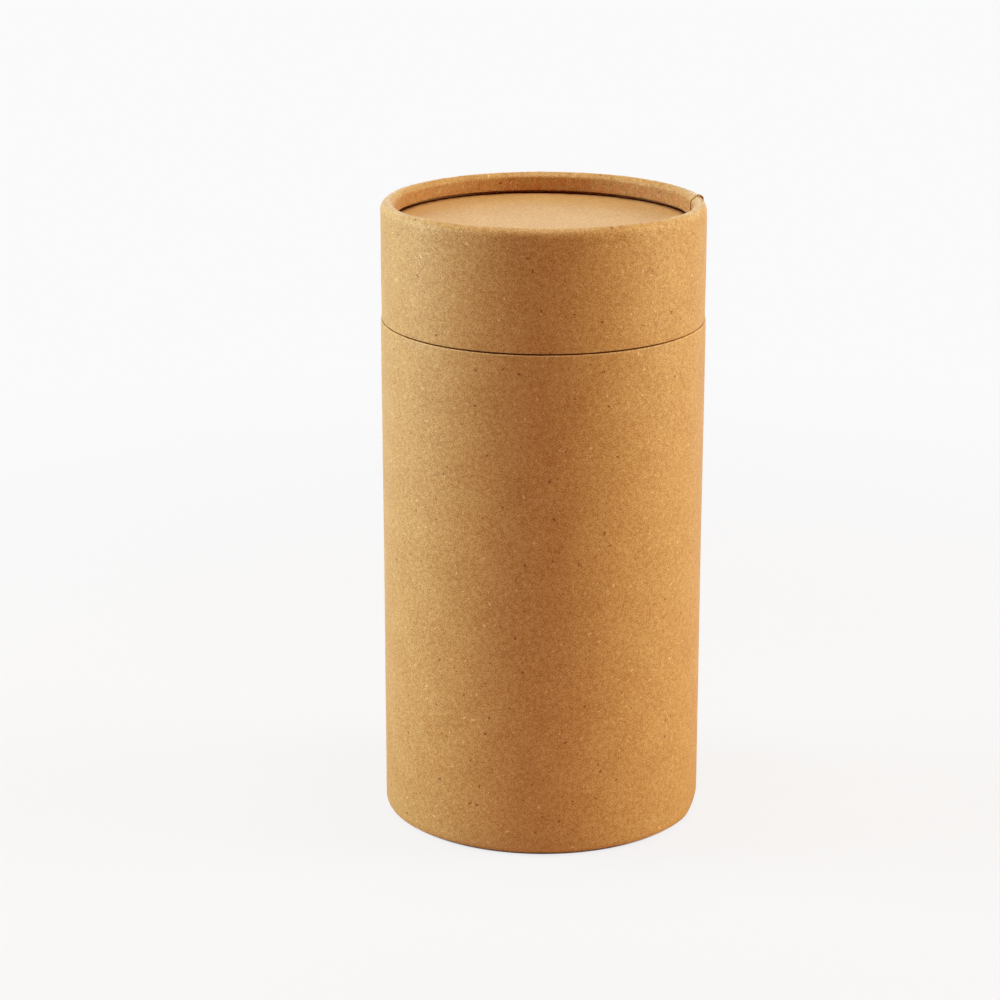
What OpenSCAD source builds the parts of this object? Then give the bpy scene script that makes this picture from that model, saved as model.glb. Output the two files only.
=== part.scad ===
// Paper tube box with a lift-off lid.
// The body and the lid are cut from one wound tube stock and meet edge to edge. The outer end
// of each is curled inward over a recessed disc, which closes it. A neck tube stands on the
// base disc inside the body, and the lid slides down over it.
// +Z is up, and the origin is at the centre of the foot.

/* [Tube stock] */
// Outside diameter of the body and the lid
tube_d = 84; // [60:1:120]
// Thickness of the wound wall
wall = 1.5; // [1:0.1:2]
// Round on the outer corners of the cut edges
edge_round = 0.25; // [0.1:0.05:0.4]

/* [Body and lid] */
// Height of the closed box
total_h = 164.3; // [120:0.1:260]
// Height of the lid
lid_h = 30.7; // [24:0.1:60]

/* [Curled rims] */
// Hollow left inside the fold of a curl
fold_gap = 0.6; // [0.4:0.1:1.2]
// Width of the flat crest of a curl
crest_flat = 0.4; // [0.2:0.1:0.8]
// Width and drop of the slope on the inner side of a crest
crest_slope = 1.1; // [0.8:0.1:1.4]
// Depth from the crest of a curl to the face of its disc
recess = 5.5; // [4.6:0.1:8]
// Gap between the turned-in edge and the disc
curl_gap = 0.7; // [0.2:0.1:0.8]

/* [Discs] */
// Thickness of the base disc and the lid disc
disc_t = 2; // [1:0.1:3]
// Glue line between a disc and the wall around it
glue_gap = 0.1; // [0.05:0.05:0.2]

/* [Neck] */
// Thickness of the neck tube's wall
neck_wall = 1.5; // [0.8:0.1:2]
// Radial clearance of the neck inside the lid and the body
neck_fit = 0.2; // [0.1:0.05:0.4]
// Free height between the neck's top edge and the lid disc
head_gap = 2.5; // [1:0.1:5]

/* [Hidden] */
$fn = 96;

kraft = "#c0935c";
kraft_light = "#cfa673";
kraft_core = "#b68a57";

tube_r = tube_d / 2;
bore_r = tube_r - wall;
joint_z = total_h - lid_h;

// A curl is the wall turned back on itself, with the hollow of the fold between its two legs
curl_w = 2 * wall + fold_gap;
curl_r = tube_r - curl_w;
curl_round = curl_w - crest_slope - crest_flat;
curl_leg = recess - curl_gap;

disc_r = bore_r - glue_gap;
base_disc_z = recess;
lid_disc_z = total_h - recess - disc_t;

neck_r = bore_r - neck_fit;
neck_bore_r = neck_r - neck_wall;
neck_foot_z = base_disc_z + disc_t;
neck_top_z = lid_disc_z - head_gap;

// A cutting shape runs this far past the face that it cuts
cut_past = 0.5;

// What is cut off a corner to round it. The corner is at a point, and inward points into the shape.
module corner_trim(corner, inward, radius) {
    centre = corner + radius * inward;
    outside = corner - cut_past * inward;
    difference() {
        polygon([outside, [centre.x, outside.y], centre, [outside.x, centre.y]]);
        translate(centre) circle(radius);
    }
}

// Half section of a tube: crest of the curl at y = 0, cut edge at y = -length
module curled_section(length) {
    difference() {
        union() {
            // The straight wall, up to where the curl begins to turn
            translate([bore_r, -length]) square([wall, length - curl_round]);
            // The curl, as a solid block
            translate([curl_r, -curl_leg]) square([curl_w, curl_leg]);
        }
        // The hollow of the fold
        translate([curl_r + wall, -curl_leg - cut_past])
            square([fold_gap, curl_leg + cut_past - wall - fold_gap / 2]);
        translate([curl_r + wall + fold_gap / 2, -wall - fold_gap / 2]) circle(fold_gap / 2);
        // The inner slope of the crest
        translate([curl_r, 0]) polygon([
            [-cut_past, -crest_slope - cut_past],
            [crest_slope + cut_past, cut_past],
            [-cut_past, cut_past]
        ]);
        // The rounds of the crest, of the turned-in edge and of the cut edge
        corner_trim([tube_r, 0], [-1, -1], curl_round);
        corner_trim([curl_r, -curl_leg], [1, 1], edge_round);
        corner_trim([tube_r, -length], [-1, 1], edge_round);
    }
}

// The lower part of the box, with its curl turned under as the foot
module body_tube() {
    color(kraft) mirror([0, 0, 1]) rotate_extrude() curled_section(joint_z);
}

// The inner tube that the lid slides over, standing on the base disc
module neck_tube() {
    neck_h = neck_top_z - neck_foot_z;
    color(kraft_core) translate([0, 0, neck_foot_z]) rotate_extrude()
        difference() {
            translate([neck_bore_r, 0]) square([neck_wall, neck_h]);
            corner_trim([neck_r, neck_h], [-1, -1], edge_round);
            corner_trim([neck_bore_r, neck_h], [1, -1], edge_round);
        }
}

// The board disc that closes an end
module closing_disc() {
    color(kraft_light) cylinder(r = disc_r, h = disc_t);
}

module base_disc() {
    translate([0, 0, base_disc_z]) closing_disc();
}

// The cap, with its curl turned in as the crown
module lid_tube() {
    color(kraft) translate([0, 0, total_h]) rotate_extrude() curled_section(lid_h);
}

module lid_disc() {
    translate([0, 0, lid_disc_z]) closing_disc();
}

body_tube();
neck_tube();
base_disc();
lid_tube();
lid_disc();
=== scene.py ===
import math
from types import SimpleNamespace

import bpy
import numpy as np
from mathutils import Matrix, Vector


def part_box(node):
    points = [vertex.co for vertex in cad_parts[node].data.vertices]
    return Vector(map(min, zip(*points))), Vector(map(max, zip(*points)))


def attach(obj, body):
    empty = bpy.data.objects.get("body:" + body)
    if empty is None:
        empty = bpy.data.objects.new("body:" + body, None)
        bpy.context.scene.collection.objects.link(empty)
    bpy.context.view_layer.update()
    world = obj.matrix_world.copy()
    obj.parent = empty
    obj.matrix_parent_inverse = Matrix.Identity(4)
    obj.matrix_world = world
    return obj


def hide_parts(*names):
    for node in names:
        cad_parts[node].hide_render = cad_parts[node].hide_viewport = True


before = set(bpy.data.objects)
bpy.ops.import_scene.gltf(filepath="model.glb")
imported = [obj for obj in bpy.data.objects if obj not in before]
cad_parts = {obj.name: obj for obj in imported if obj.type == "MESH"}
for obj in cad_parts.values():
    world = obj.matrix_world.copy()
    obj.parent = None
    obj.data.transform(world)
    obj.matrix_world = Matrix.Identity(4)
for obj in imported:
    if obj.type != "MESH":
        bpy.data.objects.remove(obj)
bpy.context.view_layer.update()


def srgb(red, green, blue):
    """A linear colour from the usual 0 to 255 levels."""
    levels = [x / 255 for x in (red, green, blue)]
    return tuple(x / 12.92 if x < 0.04045 else ((x + 0.055) / 1.055) ** 2.4 for x in levels) + (1.0,)


def tinted(colour, shares):
    """A colour with its red, green and blue each taken at a share, and kept within 1."""
    return tuple(min(1.0, x * share) for x, share in zip(colour, shares)) + (1.0,)


MM = 0.001

# Sizes read from the frame
BODY_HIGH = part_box("body_tube")[1]
LID_LOW, LID_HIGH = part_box("lid_tube")
NECK_LOW, NECK_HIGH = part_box("neck_tube")
LID_DISC_LOW, LID_DISC_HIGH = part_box("lid_disc")
BASE_DISC_LOW, BASE_DISC_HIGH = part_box("base_disc")
TUBE_R = BODY_HIGH.x
NECK_R = NECK_HIGH.x
DISC_R = LID_DISC_HIGH.x
RECESS = LID_HIGH.z - LID_DISC_HIGH.z

# Section of the wound wall and its curl. The disc is glued into the bore, and the bends are soft.
GLUE_GAP = 0.1 * MM
FOLD_GAP = 0.6 * MM
CREST_SLOPE = 1.1 * MM
CREST_SOFT = 0.9 * MM
CREST_BEND = CREST_SOFT * math.tan(math.radians(22.5))
EDGE_ROUND = 0.25 * MM
CURL_GAP = 0.7 * MM
BORE_R = DISC_R + GLUE_GAP
WALL = TUBE_R - BORE_R
CURL_W = 2 * WALL + FOLD_GAP
CURL_R = TUBE_R - CURL_W
CURL_ROUND = CURL_W - CREST_SLOPE - CREST_BEND
CURL_LEG = RECESS - CURL_GAP

# How the pieces sit in the photo: the lid is not quite down at its near side and its disc is glued a hair
# askew, and the body's near side has a low cut edge and a foot that is just off the floor
LID_UP_NEAR = 0.05 * MM
DISC_DROP = 0.15 * MM
DISC_SLOPE = 0.28 * MM
DISC_BOW = 0.04 * MM
BODY_EDGE_DIP = 0.24 * MM
FOOT_LIFT = 0.35 * MM
CUT_EDGE_REACH = 2 * MM

# The body swells a little over the neck, the lid is drawn in at its cut edge, and its crest is higher
# at the near side
BODY_SWELL = 0.17 * MM
SWELL_REACH = 70 * MM
LID_PINCH = 0.09 * MM
PINCH_REACH = 14 * MM
CREST_RISE = 0.5 * MM

# The tubes are a hair out of round, their crests and cut edges rise and fall, and the curls are pleated and
# dented where the board was turned in. Waves are counted round the tube.
ROUND_WAVES = (2, 3, 4)
OUT_OF_ROUND = 0.05 * MM
CREST_WAVES = (2, 3, 5, 8, 11)
CREST_WAVE = 0.05 * MM
EDGE_WAVES = (2, 3, 5, 7)
EDGE_WAVE = 0.05 * MM
PLEATS = range(38, 120, 7)
PLEAT_DEPTH = 0.07 * MM
DENT_COUNT = 46
DENT_DEPTH = 0.07 * MM

# The outer ply ends in a lap that runs up the wall and over the curl, and lifts at the lid's crest
PLY = 0.17 * MM
LAP_WIDTH = 12 * MM
LAP_LIP = 0.25 * MM
LAP_SLIT = 0.03 * MM
LAP_LIFT = 0.45 * MM
LIFT_REACH = 3.5 * MM
LIFT_AT = math.radians(65)
LID_LAP_TURN = math.radians(7.5)
BODY_LAP_TURN = math.radians(58)

# The shoulder of each curl is pressed in at one place: on the lid at the lap, on the foot at its right
LID_PRESS = 0.2 * MM
FOOT_PRESS = 0.6 * MM
FOOT_PRESS_TURN = math.radians(-6)
PRESS_REACH = 14 * MM
PRESS_HEIGHT = 4.5 * MM

# Mesh density, as columns round a piece and steps along a stretch of its section
TUBE_COLUMNS = 600
NECK_COLUMNS = 256
DISC_COLUMNS = 240
DISC_RINGS = 28
WALL_ROW = 3 * MM
PRESS_STEPS = 6
ROUND_STEPS = 14
BEND_STEPS = 5
SLOPE_STEPS = 4
LEG_STEPS = 6
FOLD_STEPS = 6
LIP_STEPS = 4
EDGE_STEPS = 2
SHARP_FROM = math.radians(35)

# Kinds of surface along a section: the paper face, a cut edge through the plies, the hidden inside, and
# the rounded lip of a cut edge, painted paler on the body as a painted highlight
FACE, EDGE, INSIDE, LIP = range(4)

# Material slots of a piece: its paper, its cut edge, and the lip of a tube (painted paler on the body, a
# painted highlight) or the ring of a disc under the curl (painted near-black, a painted shadow).
# Each kind of surface has its slot, in the order of the kinds.
PAPER_SLOT, CORE_SLOT, RIM_SLOT = range(3)
KIND_SLOTS = (PAPER_SLOT, CORE_SLOT, PAPER_SLOT, RIM_SLOT)

# Names of the maps on the meshes: the paper's own millimetres on each, and the unrolled sheet for baking on
# the tubes
PAPER_MAP = "paper"
BAKE_MAP = "OFBake"
INSIDE_BAKE_SHARE = 0.35

# Paper colours, the painted shade and painted highlights on them, and the pale bloom of the loose fibres at
# a grazing view
WRAP_TONE = srgb(200, 158, 90)
# Painted shade: the darker, redder tone of the turned-in leg inside the recess
LEG_SHADE_TONE = srgb(205, 140, 77)
# Painted highlight: the pale tone of the crest at the left and right
CREST_HIGHLIGHT_TONE = srgb(206, 178, 125)
# Painted highlight: the paler tone of the body's lip under the lid
LIP_HIGHLIGHT_TONE = srgb(219, 178, 112)
NECK_TONE = srgb(184, 140, 84)
DISC_TONE = srgb(200, 160, 94)
# Painted shade: the darker tone of a disc's rim near the curl
RIM_SHADE_TONE = srgb(168, 112, 58)
# Painted shadow: the near-black tone of a disc's ring under the curl
UNDER_CURL_SHADOW_TONE = srgb(115, 52, 24)
CORE_TONE = srgb(165, 100, 45)
SHEEN_TINT = (0.88, 0.95, 1.0, 1.0)
SHEEN_SPREAD = 0.4
BARK_SHARES = (0.38, 0.14, 0.05)
STRAW_SHARES = (1.45, 1.9, 3.0)

# Grain: the sizes of its noises in millimetres and what each adds, how far it swings about the paper's
# colour and roughness, and how much more green and blue swing than red
CLOUD_MM, CLOUD_PART = 9.0, 0.09
MOTTLE_MM, MOTTLE_PART = 1.3, 0.2
GRAIN_MM, GRAIN_PART = 0.35, 0.62
GRAIN_ANGLE = 0.6
GRAIN_SWING = 0.25
ROUGH_SWING = 0.06
GREEN_DRIFT = 1.8
BLUE_DRIFT = 3.2
GRAIN_RELIEF = 0.03 * MM

# Painted light, by the distance along a section from its crest: the turned-in leg inside the recess is
# painted darker and redder as painted shade, and the crest is painted pale at the left and right as a
# painted highlight. The discs are painted darker near the curl as painted shade.
LEG_FROM = CREST_SOFT * math.pi / 2 + CREST_SLOPE * math.sqrt(2) - 2 * CREST_BEND
LEG_SHADE_FROM = LEG_FROM - 1.2 * MM
LEG_SHADE_TO = LEG_FROM + 1.0 * MM
CREST_HIGHLIGHT_FROM = -3.2 * MM
CREST_HIGHLIGHT_TO = 1.4 * MM
RIM_SHADE_REACH = 2.6 * MM
PATCH_MM = 2.4

# Cut edge of the board
PLY_LINE_MM = 0.3
FUZZ_MM = 0.2
FUZZ_RELIEF = 0.04 * MM

# Floor, backdrop and fill. The seen floor is plain white from some way off, and reflections find it and
# the backdrop white only behind the object.
BACKDROP = srgb(250, 250, 251)
FLOOR_SIZE = 4.0
FLOOR_LOW = (0.80, 0.55, 0.43, 1.0)
FLOOR_HIGH = (0.84, 0.59, 0.47, 1.0)
FLOOR_SEEN = (0.78, 0.78, 0.78, 1.0)
FLOOR_WHITE_SHARE = 0.86
FLOOR_FADE = (0.1, 0.5)
FLOOR_BEHIND = (0.0, 0.3)
BACKDROP_BEHIND = (0.2, 0.8)
# Painted contact shadow: the dark brown that the camera sees on the floor under the foot
CREVICE_SHADOW_TINT = (0.25, 0.1, 0.04, 1.0)
CREVICE_R = TUBE_R - 2.2 * MM
CREVICE_END_R = TUBE_R - 1.4 * MM
FILL_TINT = (1.0, 0.1, 0.2, 1.0)
FILL_LEVEL = 0.145

# Lamps
SIDE_SIZE = (0.4, 0.7)
LEFT_TINT = (0.78, 1.0, 0.96)
RIGHT_TINT = (1.0, 0.98, 0.7)
BACK_TINT = (0.85, 1.0, 0.9)
TOP_TINT = (1.0, 0.885, 0.694)

# Camera, fitted to the outline in the photo
CAMERA_PLACE = (0.0, -0.7762, 0.3133)
CAMERA_DOWN = math.radians(16.466)
CAMERA_LEFT = math.radians(0.8275)
SENSOR_MM = 36.0
FOCAL_SHARE = 3.0626


# Half sections


def arc(centre, radius, start_deg, end_deg, steps, hollow=False):
    """Points of an arc in the half section, and the directions that the surface faces."""
    turn = np.radians(np.linspace(start_deg, end_deg, steps + 1))
    away = np.stack([np.cos(turn), np.sin(turn)], 1)
    return np.array(centre) + radius * away, -away if hollow else away


def straight(start, end, facing, steps):
    """Points of a straight stretch of the half section, and the direction that it faces."""
    share = np.linspace(0, 1, steps + 1)[:, None]
    points = (1 - share) * np.array(start) + share * np.array(end)
    return points, np.tile(np.array(facing, float), (steps + 1, 1))


def outline(stretches):
    """One closed half section from stretches that each begin where the last one ended."""
    points = np.concatenate([path[1:] for kind, (path, facing) in stretches])
    facing = np.concatenate([facing[1:] for kind, (path, facing) in stretches])
    kinds = np.concatenate([[kind] * (len(path) - 1) for kind, (path, facing) in stretches])
    return SimpleNamespace(r=points[:, 0], z=points[:, 1], facing=facing, kind=kinds.astype(int))


def curled_outline(length):
    """Half section of a wound tube: crest of its curl at z = 0, cut edge at z = -length."""
    rows = max(4, round(length / WALL_ROW))
    lip_r = TUBE_R - EDGE_ROUND
    wall_foot = EDGE_ROUND - length
    leg_foot = EDGE_ROUND - CURL_LEG
    leg_edge_r = CURL_R + EDGE_ROUND
    fold_r = CURL_R + WALL
    fold_z = -WALL - FOLD_GAP / 2
    slope_r = CURL_R + CREST_SLOPE + CREST_BEND
    slope_z = -CREST_SLOPE - CREST_BEND
    upper_bend = arc((slope_r, -CREST_SOFT), CREST_SOFT, 90, 135, BEND_STEPS)
    lower_bend = arc((CURL_R + CREST_SOFT, slope_z), CREST_SOFT, 135, 180, BEND_STEPS)
    return outline([
        (LIP, arc((lip_r, wall_foot), EDGE_ROUND, -90, 0, LIP_STEPS)),
        (FACE, straight((TUBE_R, wall_foot), (TUBE_R, -PRESS_HEIGHT), (1, 0), rows)),
        (FACE, straight((TUBE_R, -PRESS_HEIGHT), (TUBE_R, -CURL_ROUND), (1, 0), PRESS_STEPS)),
        (FACE, arc((TUBE_R - CURL_ROUND, -CURL_ROUND), CURL_ROUND, 0, 90, ROUND_STEPS)),
        (FACE, upper_bend),
        (FACE, straight(upper_bend[0][-1], lower_bend[0][0], upper_bend[1][-1], SLOPE_STEPS)),
        (FACE, lower_bend),
        (FACE, straight((CURL_R, slope_z), (CURL_R, leg_foot), (-1, 0), LEG_STEPS)),
        (FACE, arc((leg_edge_r, leg_foot), EDGE_ROUND, 180, 270, LIP_STEPS)),
        (EDGE, straight((leg_edge_r, -CURL_LEG), (fold_r, -CURL_LEG), (0, -1), EDGE_STEPS)),
        (INSIDE, straight((fold_r, -CURL_LEG), (fold_r, fold_z), (1, 0), EDGE_STEPS)),
        (INSIDE, arc((fold_r + FOLD_GAP / 2, fold_z), FOLD_GAP / 2, 180, 0, FOLD_STEPS, hollow=True)),
        (INSIDE, straight((BORE_R, fold_z), (BORE_R, -length), (-1, 0), rows)),
        (EDGE, straight((BORE_R, -length), (lip_r, -length), (0, -1), EDGE_STEPS)),
    ])


def neck_outline():
    """Half section of the neck tube, with its foot at z = 0."""
    height = NECK_HIGH.z - NECK_LOW.z
    bore_r = NECK_R - WALL
    shoulder = height - EDGE_ROUND
    rows = round(height / WALL_ROW)
    rim = (NECK_R - EDGE_ROUND, bore_r + EDGE_ROUND)
    return outline([
        (FACE, straight((NECK_R, 0), (NECK_R, shoulder), (1, 0), rows)),
        (FACE, arc((rim[0], shoulder), EDGE_ROUND, 0, 90, LIP_STEPS)),
        (EDGE, straight((rim[0], height), (rim[1], height), (0, 1), EDGE_STEPS)),
        (FACE, arc((rim[1], shoulder), EDGE_ROUND, 90, 180, LIP_STEPS)),
        (FACE, straight((bore_r, shoulder), (bore_r, 0), (-1, 0), rows)),
        (EDGE, straight((bore_r, 0), (NECK_R, 0), (0, -1), EDGE_STEPS)),
    ])


# Meshes


def tag_map(mesh, name, u, v):
    """Adds a UV map from one u and one v for each face corner."""
    layer = mesh.uv_layers.new(name=name, do_init=False)
    layer.uv.foreach_set("vector", np.stack([u, v], -1).astype(np.float32).ravel())


def finish_mesh(name, mesh, slots, materials):
    """Makes the object, with each face in its material slot and smooth up to sharp edges."""
    for material in materials:
        mesh.materials.append(material)
    mesh.polygons.foreach_set("material_index", slots)
    mesh.polygons.foreach_set("use_smooth", np.ones(len(slots), bool))
    mesh.set_sharp_from_angle(angle=SHARP_FROM)
    mesh.update()
    piece = bpy.data.objects.new(name, mesh)
    bpy.context.scene.collection.objects.link(piece)
    return piece


def revolve(name, section, turn, r, z, materials, under=False):
    """A closed ring from a section's r and z at each column, its faces reversed if it is turned under."""
    columns, count = r.shape
    places = np.stack([r * np.cos(turn), r * np.sin(turn), z], -1)
    index = np.arange(columns * count).reshape(columns, count)
    across = np.roll(index, -1, 0)
    corners = [np.roll(index, 1, 1), np.roll(across, 1, 1), across, index]

    # Lengths along the section and round the tube, in millimetres
    step = np.hypot(section.r - np.roll(section.r, 1), section.z - np.roll(section.z, 1)) / MM
    sheet = step * np.where(section.kind == INSIDE, INSIDE_BAKE_SHARE, 1)
    around = 2 * math.pi * TUBE_R / MM
    ones = np.ones((columns, count))
    u_low = (np.arange(columns) / columns)[:, None] * ones
    u_high = u_low + 1 / columns
    u = [u_low, u_high, u_high, u_low]

    def along(lengths):
        high = np.cumsum(lengths) * ones
        low = high - lengths
        return [low, low, high, high]

    to_crest = np.cumsum(step)[np.argmax(section.z)]
    v_paper = along(step)
    v_bake = along(sheet)
    if under:
        corners, u, v_paper, v_bake = (x[::-1] for x in (corners, u, v_paper, v_bake))
    mesh = bpy.data.meshes.new(name)
    faces = np.stack(corners, -1).reshape(-1, 4)
    mesh.from_pydata(places.reshape(-1, 3).tolist(), [], faces.tolist())
    u = np.stack(u, -1)
    tag_map(mesh, PAPER_MAP, u * around, np.stack(v_paper, -1) - to_crest)
    tag_map(mesh, BAKE_MAP, u, np.stack(v_bake, -1) / sheet.sum())
    slots = np.choose(section.kind, KIND_SLOTS)
    return finish_mesh(name, mesh, np.tile(slots, columns), materials)


# Unevenness


def smooth_step(low, high, value):
    """0 at low, 1 at high, and a smooth change between."""
    t = np.clip((value - low) / (high - low), 0, 1)
    return t * t * (3 - 2 * t)


def turn_between(turn, other):
    """The angle from one turn to another, the shorter way round."""
    return (turn - other + math.pi) % (2 * math.pi) - math.pi


def ripple(turn, orders, height, seed):
    """A sum of waves round the tube, the same on each run, that stays within plus or minus height."""
    random = np.random.default_rng(seed)
    share = random.uniform(0.4, 1.0, len(orders))
    phase = random.uniform(0, 2 * math.pi, len(orders))
    waves = [s * np.cos(k * turn + p) for s, k, p in zip(share, orders, phase)]
    return height * sum(waves) / share.sum()


def dents(turn, section, seed):
    """Small pits and bumps scattered over a curl, by the turn round it and the way along its section."""
    step_r = np.diff(section.r, prepend=section.r[0])
    step_z = np.diff(section.z, prepend=section.z[0])
    along = np.cumsum(np.hypot(step_r, step_z))
    from_crest = along - along[np.argmax(section.z)]
    random = np.random.default_rng(seed)
    total = np.zeros_like(turn)
    for _ in range(DENT_COUNT):
        where = random.uniform(0, 2 * math.pi)
        height = random.uniform(-1, 0.5) * DENT_DEPTH
        wide = random.uniform(0.7, 2.6) * MM
        high = random.uniform(0.5, 1.4) * MM
        middle = random.uniform(-1, 1) * CURL_W / 2
        aside = turn_between(turn, where) * TUBE_R
        total += height * np.exp(-((aside / wide) ** 2) - ((from_crest - middle) / high) ** 2)
    return total


def disc_waves(x, y, height, seed):
    """Slow unevenness of a flat board, within plus or minus height."""
    random = np.random.default_rng(seed)
    total = np.zeros_like(x)
    waves = 7
    for _ in range(waves):
        heading = random.uniform(0, 2 * math.pi)
        length = random.uniform(18, 45) * MM
        phase = random.uniform(0, 2 * math.pi)
        total += np.cos(2 * math.pi * (x * math.cos(heading) + y * math.sin(heading)) / length + phase)
    return height * total / waves


def places_along(section, length):
    """How much each point of a curled section belongs to each place that is uneven, from 0 to 1."""
    outer = smooth_step(BORE_R, TUBE_R, section.r)
    in_leg = section.r < CURL_R + WALL + FOLD_GAP / 2
    lift_way = np.array([math.cos(LIFT_AT), math.sin(LIFT_AT)])
    return SimpleNamespace(
        paper=np.isin(section.kind, (FACE, LIP)).astype(float),
        outer=outer,
        crest=smooth_step(-2 * CURL_ROUND, 0, section.z),
        lifting=smooth_step(0.8, 1.0, section.facing @ lift_way),
        shoulder=outer * smooth_step(-PRESS_HEIGHT, -0.2 * PRESS_HEIGHT, section.z),
        leg=in_leg * smooth_step(-CREST_SLOPE, -CURL_LEG, section.z),
        cut_edge=smooth_step(CUT_EDGE_REACH, 0, section.z + length),
    )


# Pieces


def curled_tube(name, tube, materials):
    """A wound tube with a curled end, its lapped outer ply and the small unevenness of hand-fed board."""
    section = curled_outline(tube.length)
    at = places_along(section, tube.length)
    turn = tube.lap_turn + np.linspace(0, 2 * math.pi - LAP_SLIT / TUBE_R, TUBE_COLUMNS)
    turn = turn[:, None] * np.ones(len(section.r))
    near = smooth_step(0.3, 1.0, -np.sin(turn))
    right = np.cos(turn)

    lean = ripple(turn, ROUND_WAVES, OUT_OF_ROUND, tube.seed)
    crest_wave = ripple(turn, CREST_WAVES, CREST_WAVE, tube.seed + 1)
    pleats = ripple(turn, PLEATS, PLEAT_DEPTH, tube.seed + 2) + dents(turn, section, tube.seed + 4)
    edge_wave = EDGE_WAVE + ripple(turn, EDGE_WAVES, EDGE_WAVE, tube.seed + 3)
    widen = tube.swell * smooth_step(tube.swell_reach, 0, section.z + tube.length) * at.outer

    # The pressed place
    aside = np.abs(turn_between(turn, tube.press_turn)) * TUBE_R
    pressed = tube.press * smooth_step(PRESS_REACH, 0.3 * PRESS_REACH, aside) * at.shoulder

    # The lapped ply stands proud at its free edge, overhangs it by a lip and sinks away behind it
    behind = (turn - tube.lap_turn) * TUBE_R
    free_edge = behind < math.pi * TUBE_R / TUBE_COLUMNS
    proud = PLY * smooth_step(LAP_WIDTH, 0.35 * LAP_WIDTH, behind)
    lifted = tube.lap_lift * smooth_step(LIFT_REACH, 0, behind) * at.lifting
    turn = turn - LAP_LIP / TUBE_R * free_edge * at.paper

    out = (proud + lifted + pleats * at.crest) * at.paper
    r = section.r + lean + widen - pressed + out * section.facing[:, 0]
    z = section.z + crest_wave * at.crest + out * section.facing[:, 1]
    if tube.under:
        z = (FOOT_LIFT * at.crest - BODY_EDGE_DIP * at.cut_edge) * near - np.minimum(z, 0)
    else:
        z = LID_HIGH.z + z + CREST_RISE * near * at.crest
        z = z + edge_wave * at.cut_edge - DISC_SLOPE * right * at.leg
    return revolve(name, section, turn, r, z, materials, tube.under)


def neck_tube(name, materials):
    """The inner tube, plain apart from its rounded rim."""
    section = neck_outline()
    turn = np.linspace(0, 2 * math.pi, NECK_COLUMNS, endpoint=False)[:, None] * np.ones(len(section.r))
    r = section.r + np.zeros_like(turn)
    z = NECK_LOW.z + section.z + np.zeros_like(turn)
    return revolve(name, section, turn, r, z, materials)


def board_disc(name, low_z, high_z, seed, materials, drop=0.0, slope=0.0):
    """A board disc as rings about a centre point, on both faces."""
    radius = DISC_R * np.sqrt(np.linspace(0, 1, DISC_RINGS + 1))[1:]
    turn = np.linspace(0, 2 * math.pi, DISC_COLUMNS, endpoint=False)
    x = np.outer(radius, np.cos(turn))
    y = np.outer(radius, np.sin(turn))
    # The outermost ring stays flat, where the board is glued in
    calm = (1 - (radius / DISC_R) ** 4)[:, None]
    bow = disc_waves(x, y, DISC_BOW, seed) * calm - drop - slope * x / DISC_R
    centre_bow = disc_waves(np.zeros(1), np.zeros(1), DISC_BOW, seed)[0] - drop
    top = np.stack([x, y, high_z + bow], -1).reshape(-1, 3)
    bottom = np.stack([x, y, low_z + bow], -1).reshape(-1, 3)
    centres = np.array([[0, 0, high_z + centre_bow], [0, 0, low_z + centre_bow]])
    places = np.concatenate([top, bottom, centres])
    top_centre = 2 * len(top)
    bottom_centre = top_centre + 1
    last = DISC_RINGS - 1

    def at(ring, column, side):
        return side * len(top) + ring * DISC_COLUMNS + column % DISC_COLUMNS

    faces = []
    slots = []
    for c in range(DISC_COLUMNS):
        faces.append((top_centre, at(0, c, 0), at(0, c + 1, 0)))
        faces.append((bottom_centre, at(0, c + 1, 1), at(0, c, 1)))
        slots += [PAPER_SLOT, PAPER_SLOT]
        for k in range(last):
            # Rings under the curl are painted near-black, a painted shadow
            slot = RIM_SLOT if radius[k] > CURL_R else PAPER_SLOT
            faces.append((at(k, c, 0), at(k + 1, c, 0), at(k + 1, c + 1, 0), at(k, c + 1, 0)))
            faces.append((at(k, c, 1), at(k, c + 1, 1), at(k + 1, c + 1, 1), at(k + 1, c, 1)))
            slots += [slot, slot]
        faces.append((at(last, c, 0), at(last, c, 1), at(last, c + 1, 1), at(last, c + 1, 0)))
        slots.append(CORE_SLOT)
    mesh = bpy.data.meshes.new(name)
    mesh.from_pydata(places.tolist(), [], faces)
    flat = np.array([places[i] for face in faces for i in face]) / MM
    tag_map(mesh, PAPER_MAP, flat[:, 0], flat[:, 1] + flat[:, 2])
    return finish_mesh(name, mesh, np.array(slots), materials)


def settle_lid(piece):
    """Moves a piece of the lid to where it was left in the photo."""
    vertices = piece.data.vertices
    places = np.empty(3 * len(vertices), np.float32)
    vertices.foreach_get("co", places)
    places = places.reshape(-1, 3)
    places[:, 2] += LID_UP_NEAR * (TUBE_R - places[:, 1]) / (2 * TUBE_R)
    vertices.foreach_set("co", places.ravel())
    piece.data.update()


# Materials


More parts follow.
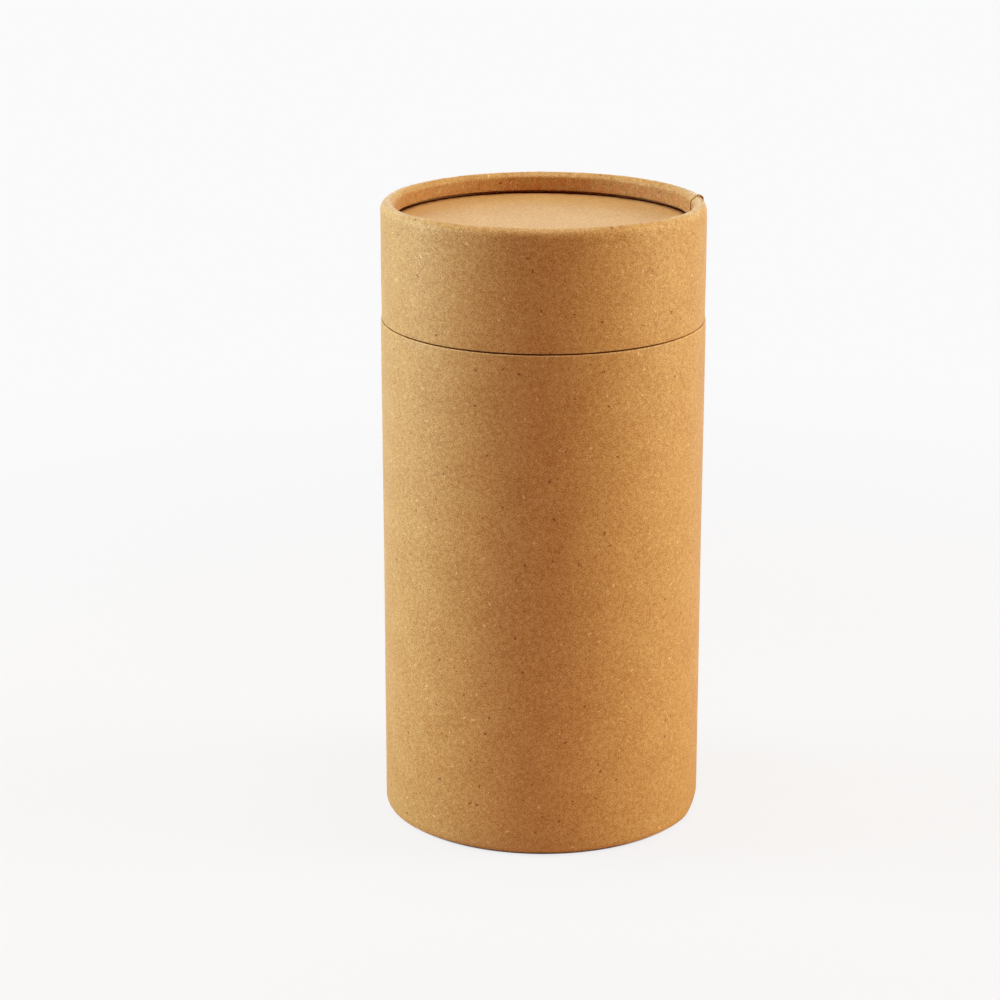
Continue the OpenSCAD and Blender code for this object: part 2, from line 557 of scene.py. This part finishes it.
class Nodes:
    """Adds shader nodes to one tree. An input is a number, a colour or another node's output."""

    def __init__(self, owner):
        owner.use_nodes = True
        self.tree = owner.node_tree
        self.tree.nodes.clear()

    def add(self, kind, inputs=(), **settings):
        node = self.tree.nodes.new(kind)
        for key, value in settings.items():
            setattr(node, key, value)
        for key, value in dict(inputs).items():
            if isinstance(value, bpy.types.NodeSocket):
                self.tree.links.new(value, node.inputs[key])
            else:
                node.inputs[key].default_value = value
        return node

    def math(self, operation, a, b=0.0, clamp=False):
        return self.add("ShaderNodeMath", {0: a, 1: b}, operation=operation, use_clamp=clamp).outputs[0]

    def times(self, a, b):
        return self.math("MULTIPLY", a, b)

    def plus(self, a, b, clamp=False):
        return self.math("ADD", a, b, clamp)

    def vector(self, operation, a, b):
        return self.add("ShaderNodeVectorMath", {0: a, 1: b}, operation=operation).outputs[0]

    def length(self, vector):
        return self.add("ShaderNodeVectorMath", {0: vector}, operation="LENGTH").outputs["Value"]

    def turned(self, vector, angle):
        inputs = {"Vector": vector, "Angle": angle}
        return self.add("ShaderNodeVectorRotate", inputs, rotation_type="Z_AXIS").outputs[0]

    def parts(self, vector):
        return self.add("ShaderNodeSeparateXYZ", {0: vector}).outputs

    def coords(self, kind):
        return self.add("ShaderNodeTexCoord").outputs[kind]

    def paper_map(self):
        return self.add("ShaderNodeUVMap", uv_map=PAPER_MAP).outputs[0]

    def ramp(self, value, low, high, to_low=0.0, to_high=1.0):
        """A smooth change from to_low to to_high while value goes from low to high."""
        inputs = {"Value": value, "From Min": low, "From Max": high, "To Min": to_low, "To Max": to_high}
        return self.add("ShaderNodeMapRange", inputs, interpolation_type="SMOOTHSTEP").outputs[0]

    def mix(self, share, a, b, blend="MIX"):
        inputs = {"Factor": share, 6: a, 7: b}
        return self.add("ShaderNodeMix", inputs, data_type="RGBA", blend_type=blend).outputs[2]

    def noise(self, place, size_mm, detail=2.0, rough=0.5, bent=0.0):
        inputs = {"Vector": place, "Scale": 1 / size_mm, "Detail": detail}
        inputs.update({"Roughness": rough, "Distortion": bent})
        return self.add("ShaderNodeTexNoise", inputs, noise_dimensions="2D").outputs[0]

    def paper_surface(self, colour, rough, relief, height, strength, finish=()):
        """Ends the tree in a plain surface with a fine relief."""
        bump = self.add("ShaderNodeBump", {"Strength": strength, "Distance": relief, "Height": height})
        inputs = {"Base Color": colour, "Roughness": rough, "Normal": bump.outputs[0]}
        inputs.update(finish)
        shader = self.add("ShaderNodeBsdfPrincipled", inputs)
        self.add("ShaderNodeOutputMaterial", {"Surface": shader.outputs[0]})


def leg_shade_mask(nodes):
    """Mask of the turned-in leg of a curl inside the recess, where a darker, redder tone is painted shade.
    """
    return nodes.ramp(nodes.parts(nodes.paper_map())[1], LEG_SHADE_FROM / MM, LEG_SHADE_TO / MM)


def crest_highlight_mask(nodes):
    """Mask of the crest of a curl and the shoulder below it, at the left and right of the tube, where a pale
    tone is a painted highlight.
    """
    v = nodes.parts(nodes.paper_map())[1]
    x = nodes.math("ABSOLUTE", nodes.parts(nodes.coords("Object"))[0])
    above = nodes.ramp(v, CREST_HIGHLIGHT_FROM / MM, 0.4 * CREST_HIGHLIGHT_FROM / MM)
    before = nodes.ramp(v, 0.4 * CREST_HIGHLIGHT_TO / MM, CREST_HIGHLIGHT_TO / MM, 1.0, 0.0)
    aside = nodes.ramp(x, 0.5 * TUBE_R, 0.95 * TUBE_R)
    return nodes.times(nodes.times(above, before), aside)


def rim_shade_mask(nodes):
    """Mask of the outer rim of a disc near the curl, where a darker tone in speckled patches is painted
    shade.
    """
    flat = nodes.vector("MULTIPLY", nodes.coords("Object"), (1, 1, 0))
    return nodes.ramp(nodes.length(flat), CURL_R - RIM_SHADE_REACH, CURL_R)


def paint_light_patches(nodes, tone, place, painted_light):
    """A paper's tone with painted shade and painted highlights laid over it in uneven patches."""
    paper = tone
    for painted_tone, find_mask in painted_light:
        patches = nodes.ramp(nodes.noise(place, PATCH_MM, 3.0), 0.38, 0.66, 0.4, 1.0)
        paper = nodes.mix(nodes.times(find_mask(nodes), patches), paper, painted_tone)
    return paper


def grain_tint(nodes, level, depth):
    """Grain as a tint. Dark grain is redder and pale grain is yellower, so red swings least."""
    swing = GRAIN_SWING * depth
    red = nodes.ramp(level, 0.28, 0.62, 1 - swing, 1 + swing)
    green = nodes.math("POWER", red, GREEN_DRIFT)
    blue = nodes.math("POWER", red, BLUE_DRIFT)
    return nodes.add("ShaderNodeCombineColor", {0: red, 1: green, 2: blue}).outputs[0]


def fibres(nodes, place, shift, cell, share, length, width, bend=0.0):
    """Mask of short strokes, each turned its own way, in a share of the cells. Sizes are in millimetres."""
    place = nodes.vector("ADD", place, shift)
    spread = {"Vector": place, "Scale": 1 / cell}
    cells = nodes.add("ShaderNodeTexVoronoi", spread, voronoi_dimensions="2D")
    luck = nodes.add("ShaderNodeSeparateColor", {0: cells.outputs["Color"]}).outputs
    away = nodes.vector("SUBTRACT", place, cells.outputs["Position"])
    x, y = nodes.parts(nodes.turned(away, nodes.times(luck[0], 2 * math.pi)))[:2]
    bowed = nodes.plus(y, nodes.times(nodes.times(x, x), bend))
    size = nodes.plus(0.45, nodes.times(luck[1], 0.55))
    along = nodes.math("DIVIDE", nodes.math("ABSOLUTE", x), size)
    across = nodes.math("DIVIDE", nodes.math("ABSOLUTE", bowed), size)
    in_length = nodes.ramp(along, 0.3 * length, 0.5 * length, 1.0, 0.0)
    in_width = nodes.ramp(across, 0.15 * width, 0.5 * width, 1.0, 0.0)
    chosen = nodes.math("LESS_THAN", luck[2], share)
    return nodes.times(nodes.times(in_length, in_width), chosen)


def kraft_paper(name, tone, roughness, shift, depth=1.0, bloom=0.22, gloss=0.5, painted_light=()):
    """Unbleached kraft paper: mottled grain, dark flecks of bark, pale fibres and a few long hairs."""
    material = bpy.data.materials.new(name)
    nodes = Nodes(material)
    place = nodes.vector("ADD", nodes.paper_map(), (shift, 3 * shift, 0))
    laid = nodes.turned(place, GRAIN_ANGLE)
    cloud = nodes.noise(place, CLOUD_MM)
    mottle = nodes.noise(laid, MOTTLE_MM)
    grain = nodes.noise(laid, GRAIN_MM, rough=0.6, bent=0.5)
    level = nodes.plus(nodes.times(grain, GRAIN_PART), nodes.times(mottle, MOTTLE_PART))
    level = nodes.plus(level, nodes.times(cloud, CLOUD_PART))
    # Painted shade and painted highlights laid over the paper's tone
    paper = paint_light_patches(nodes, tone, place, painted_light)
    colour = nodes.mix(1.0, paper, grain_tint(nodes, level, depth), "MULTIPLY")

    flecks = fibres(nodes, place, (0, 0, 0), cell=4.6, share=0.15, length=1.2, width=0.8)
    dots = fibres(nodes, place, (71, 13, 0), cell=1.9, share=0.3, length=0.75, width=0.46)
    pale = fibres(nodes, place, (29, 57, 0), cell=2.2, share=0.3, length=1.2, width=0.46, bend=0.25)
    slivers = fibres(nodes, place, (43, 19, 0), cell=6.0, share=0.2, length=1.3, width=0.75, bend=0.2)
    hairs = fibres(nodes, place, (5, 91, 0), cell=17.0, share=0.3, length=4.6, width=0.28, bend=0.06)
    bark = tinted(tone, BARK_SHARES)
    straw = tinted(tone, STRAW_SHARES)
    colour = nodes.mix(nodes.times(dots, 0.45 * depth), colour, bark)
    colour = nodes.mix(nodes.times(flecks, 0.85 * depth), colour, bark)
    colour = nodes.mix(nodes.times(pale, 0.65 * depth), colour, straw)
    colour = nodes.mix(nodes.times(slivers, 0.9 * depth), colour, straw)
    colour = nodes.mix(nodes.times(hairs, 0.55 * depth), colour, bark)

    height = nodes.plus(nodes.plus(grain, nodes.times(pale, 0.4)), nodes.times(mottle, 0.6))
    rough = nodes.ramp(grain, 0.25, 0.75, roughness + ROUGH_SWING, roughness - ROUGH_SWING)
    finish = {"Specular IOR Level": gloss, "Sheen Weight": bloom}
    finish.update({"Sheen Roughness": SHEEN_SPREAD, "Sheen Tint": SHEEN_TINT})
    nodes.paper_surface(colour, rough, GRAIN_RELIEF, height, 0.35, finish)
    return material


def cut_board(name, tone):
    """The cut edge of a wound wall: thin plies with dark glue lines and a fuzzy, fibrous face."""
    material = bpy.data.materials.new(name)
    nodes = Nodes(material)
    uv = nodes.paper_map()
    across = nodes.math("DIVIDE", nodes.parts(uv)[1], PLY_LINE_MM)
    wander = nodes.times(nodes.noise(uv, 2.5), 0.5)
    lines = nodes.ramp(nodes.math("PINGPONG", nodes.plus(across, wander), 0.5), 0.02, 0.2)
    fuzz = nodes.noise(uv, FUZZ_MM, 3.0, 0.7)
    fuzzy = nodes.mix(fuzz, tinted(tone, (0.8, 0.8, 0.8)), tone)
    colour = nodes.mix(lines, tinted(tone, (0.55, 0.55, 0.55)), fuzzy)
    rough = nodes.ramp(fuzz, 0.3, 0.7, 0.95, 0.8)
    nodes.paper_surface(colour, rough, FUZZ_RELIEF, nodes.plus(lines, fuzz), 0.6)
    return material


# Studio


def floor_paint():
    """Pale floor, seen as white with a soft shadow. Behind the object it is bright in reflections too."""
    material = bpy.data.materials.new("floor")
    nodes = Nodes(material)
    coords = nodes.coords("Object")
    path = nodes.add("ShaderNodeLightPath").outputs
    away = nodes.length(coords)
    # The crevice under the foot stays dark: it shows no white and is painted dark brown, a painted contact
    # shadow
    clear = nodes.ramp(away, CREVICE_R, CREVICE_END_R)
    speckle = nodes.add("ShaderNodeTexNoise", {"Vector": coords, "Scale": 3.0}).outputs[0]
    bounce_tint = nodes.mix(speckle, FLOOR_LOW, FLOOR_HIGH)
    seen_tint = nodes.mix(clear, CREVICE_SHADOW_TINT, FLOOR_SEEN)
    tint = nodes.mix(path["Is Camera Ray"], bounce_tint, seen_tint)
    matt = nodes.add("ShaderNodeBsdfDiffuse", {"Color": tint})
    white = nodes.add("ShaderNodeEmission", {"Color": BACKDROP, "Strength": 1.0})
    plain = nodes.times(clear, nodes.ramp(away, *FLOOR_FADE, FLOOR_WHITE_SHARE, 1.0))
    seen = nodes.times(path["Is Camera Ray"], plain)
    mirrored = nodes.times(path["Is Glossy Ray"], nodes.ramp(nodes.parts(coords)[1], *FLOOR_BEHIND))
    share = nodes.plus(seen, mirrored, clamp=True)
    shader = nodes.add("ShaderNodeMixShader", {0: share, 1: matt.outputs[0], 2: white.outputs[0]})
    nodes.add("ShaderNodeOutputMaterial", {"Surface": shader.outputs[0]})
    return material


def studio_floor():
    """A wide flat floor at the foot of the object."""
    half = FLOOR_SIZE / 2
    corners = [(-half, -half, 0), (half, -half, 0), (half, half, 0), (-half, half, 0)]
    mesh = bpy.data.meshes.new("floor")
    mesh.from_pydata(corners, [], [(0, 1, 2, 3)])
    mesh.materials.append(floor_paint())
    floor = bpy.data.objects.new("floor", mesh)
    bpy.context.scene.collection.objects.link(floor)
    return floor


def studio_world():
    """A dim warm fill all round. The camera sees white, and so do reflections of what is behind."""
    world = bpy.data.worlds.new("studio")
    bpy.context.scene.world = world
    nodes = Nodes(world)
    fill = nodes.add("ShaderNodeBackground", {"Color": FILL_TINT, "Strength": FILL_LEVEL})
    white = nodes.add("ShaderNodeBackground", {"Color": BACKDROP, "Strength": 1.0})
    y = nodes.parts(nodes.coords("Generated"))[1]
    path = nodes.add("ShaderNodeLightPath").outputs
    mirrored = nodes.times(path["Is Glossy Ray"], nodes.ramp(y, *BACKDROP_BEHIND))
    share = nodes.plus(path["Is Camera Ray"], mirrored, clamp=True)
    shader = nodes.add("ShaderNodeMixShader", {0: share, 1: fill.outputs[0], 2: white.outputs[0]})
    nodes.add("ShaderNodeOutputWorld", {"Surface": shader.outputs[0]})


def softbox(name, azimuth, distance, height, size, power, tint):
    """A rectangular lamp that faces the object. Azimuth 0 is the viewer's side, 90 the right."""
    turn = math.radians(azimuth)
    lamp = bpy.data.lights.new(name, "AREA")
    lamp.shape = "RECTANGLE"
    lamp.size, lamp.size_y = size
    lamp.energy = power
    lamp.color = tint
    holder = bpy.data.objects.new(name, lamp)
    holder.location = (distance * math.sin(turn), -distance * math.cos(turn), height)
    aim = Vector((0, 0, 0.5 * LID_HIGH.z)) - holder.location
    holder.rotation_euler = aim.to_track_quat("-Z", "Y").to_euler()
    holder.visible_camera = False
    bpy.context.scene.collection.objects.link(holder)


def studio_camera():
    """The camera at the photo's place and angle."""
    data = bpy.data.cameras.new("camera")
    data.sensor_width = SENSOR_MM
    data.lens = FOCAL_SHARE * SENSOR_MM
    camera = bpy.data.objects.new("camera", data)
    camera.location = CAMERA_PLACE
    camera.rotation_euler = (math.pi / 2 - CAMERA_DOWN, 0, CAMERA_LEFT)
    bpy.context.scene.collection.objects.link(camera)
    return camera


# Papers of the pieces
# Painted shade on the curl's leg, a painted highlight on its crest, and painted shade on the disc's rim
curl_painted_light = ((LEG_SHADE_TONE, leg_shade_mask), (CREST_HIGHLIGHT_TONE, crest_highlight_mask))
disc_painted_light = ((RIM_SHADE_TONE, rim_shade_mask),)
body_wrap = kraft_paper("kraft_wrap", WRAP_TONE, roughness=0.55, shift=0.0, painted_light=curl_painted_light)
# The body's lip, painted paler as a painted highlight
body_lip_highlight = kraft_paper("kraft_wrap_lip_highlight", LIP_HIGHLIGHT_TONE, roughness=0.55, shift=19.0)
lid_wrap = kraft_paper("kraft_wrap_lid", WRAP_TONE, roughness=0.55, shift=37.0, painted_light=curl_painted_light)
neck_wrap = kraft_paper("kraft_neck", NECK_TONE, roughness=0.65, shift=83.0)
disc_paper = kraft_paper(
    "kraft_disc", DISC_TONE, roughness=0.5, shift=131.0, depth=0.7, bloom=0.1, painted_light=disc_painted_light,
)
# The disc's ring under the curl, painted near-black as a painted shadow
under_curl_shadow = kraft_paper(
    "under_curl_shadow", UNDER_CURL_SHADOW_TONE, roughness=0.8, shift=151.0, depth=0.5, bloom=0.0, gloss=0.05,
)
core = cut_board("board_edge", CORE_TONE)
disc_papers = [disc_paper, core, under_curl_shadow]

# The lower part
body_shape = SimpleNamespace(
    length=BODY_HIGH.z, under=True, seed=3, swell=BODY_SWELL, swell_reach=SWELL_REACH,
    lap_turn=BODY_LAP_TURN, lap_lift=0.0, press=FOOT_PRESS, press_turn=FOOT_PRESS_TURN,
)
body = curled_tube("tube_body", body_shape, [body_wrap, core, body_lip_highlight])
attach(body, "base")
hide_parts("body_tube")

neck = neck_tube("tube_neck", [neck_wrap, core])
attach(neck, "base")
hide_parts("neck_tube")

base_board = board_disc("base_board", BASE_DISC_LOW.z, BASE_DISC_HIGH.z, 5, disc_papers)
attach(base_board, "base")
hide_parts("base_disc")

# The lid
lid_shape = SimpleNamespace(
    length=LID_HIGH.z - LID_LOW.z, under=False, seed=17, swell=-LID_PINCH, swell_reach=PINCH_REACH,
    lap_turn=LID_LAP_TURN, lap_lift=LAP_LIFT, press=LID_PRESS, press_turn=LID_LAP_TURN,
)
cap = curled_tube("tube_lid", lid_shape, [lid_wrap, core, lid_wrap])
settle_lid(cap)
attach(cap, "lid")
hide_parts("lid_tube")

lid_board = board_disc("lid_board", LID_DISC_LOW.z, LID_DISC_HIGH.z, 11, disc_papers, DISC_DROP, DISC_SLOPE)
settle_lid(lid_board)
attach(lid_board, "lid")
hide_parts("lid_disc")

# Floor, lights and camera
floor = studio_floor()
studio_world()
softbox("left_softbox", azimuth=-93, distance=0.77, height=0.29, size=SIDE_SIZE, power=6.8, tint=LEFT_TINT)
softbox("right_softbox", azimuth=88, distance=0.77, height=0.29, size=SIDE_SIZE, power=5.75, tint=RIGHT_TINT)
softbox("back_softbox", azimuth=180, distance=1.15, height=0.43, size=(1.0, 0.3), power=1.2, tint=BACK_TINT)
softbox("top_softbox", azimuth=0, distance=0.035, height=1.08, size=(0.5, 0.5), power=6.2, tint=TOP_TINT)
bpy.context.scene.camera = studio_camera()
bpy.context.scene.view_settings.view_transform = "Standard"
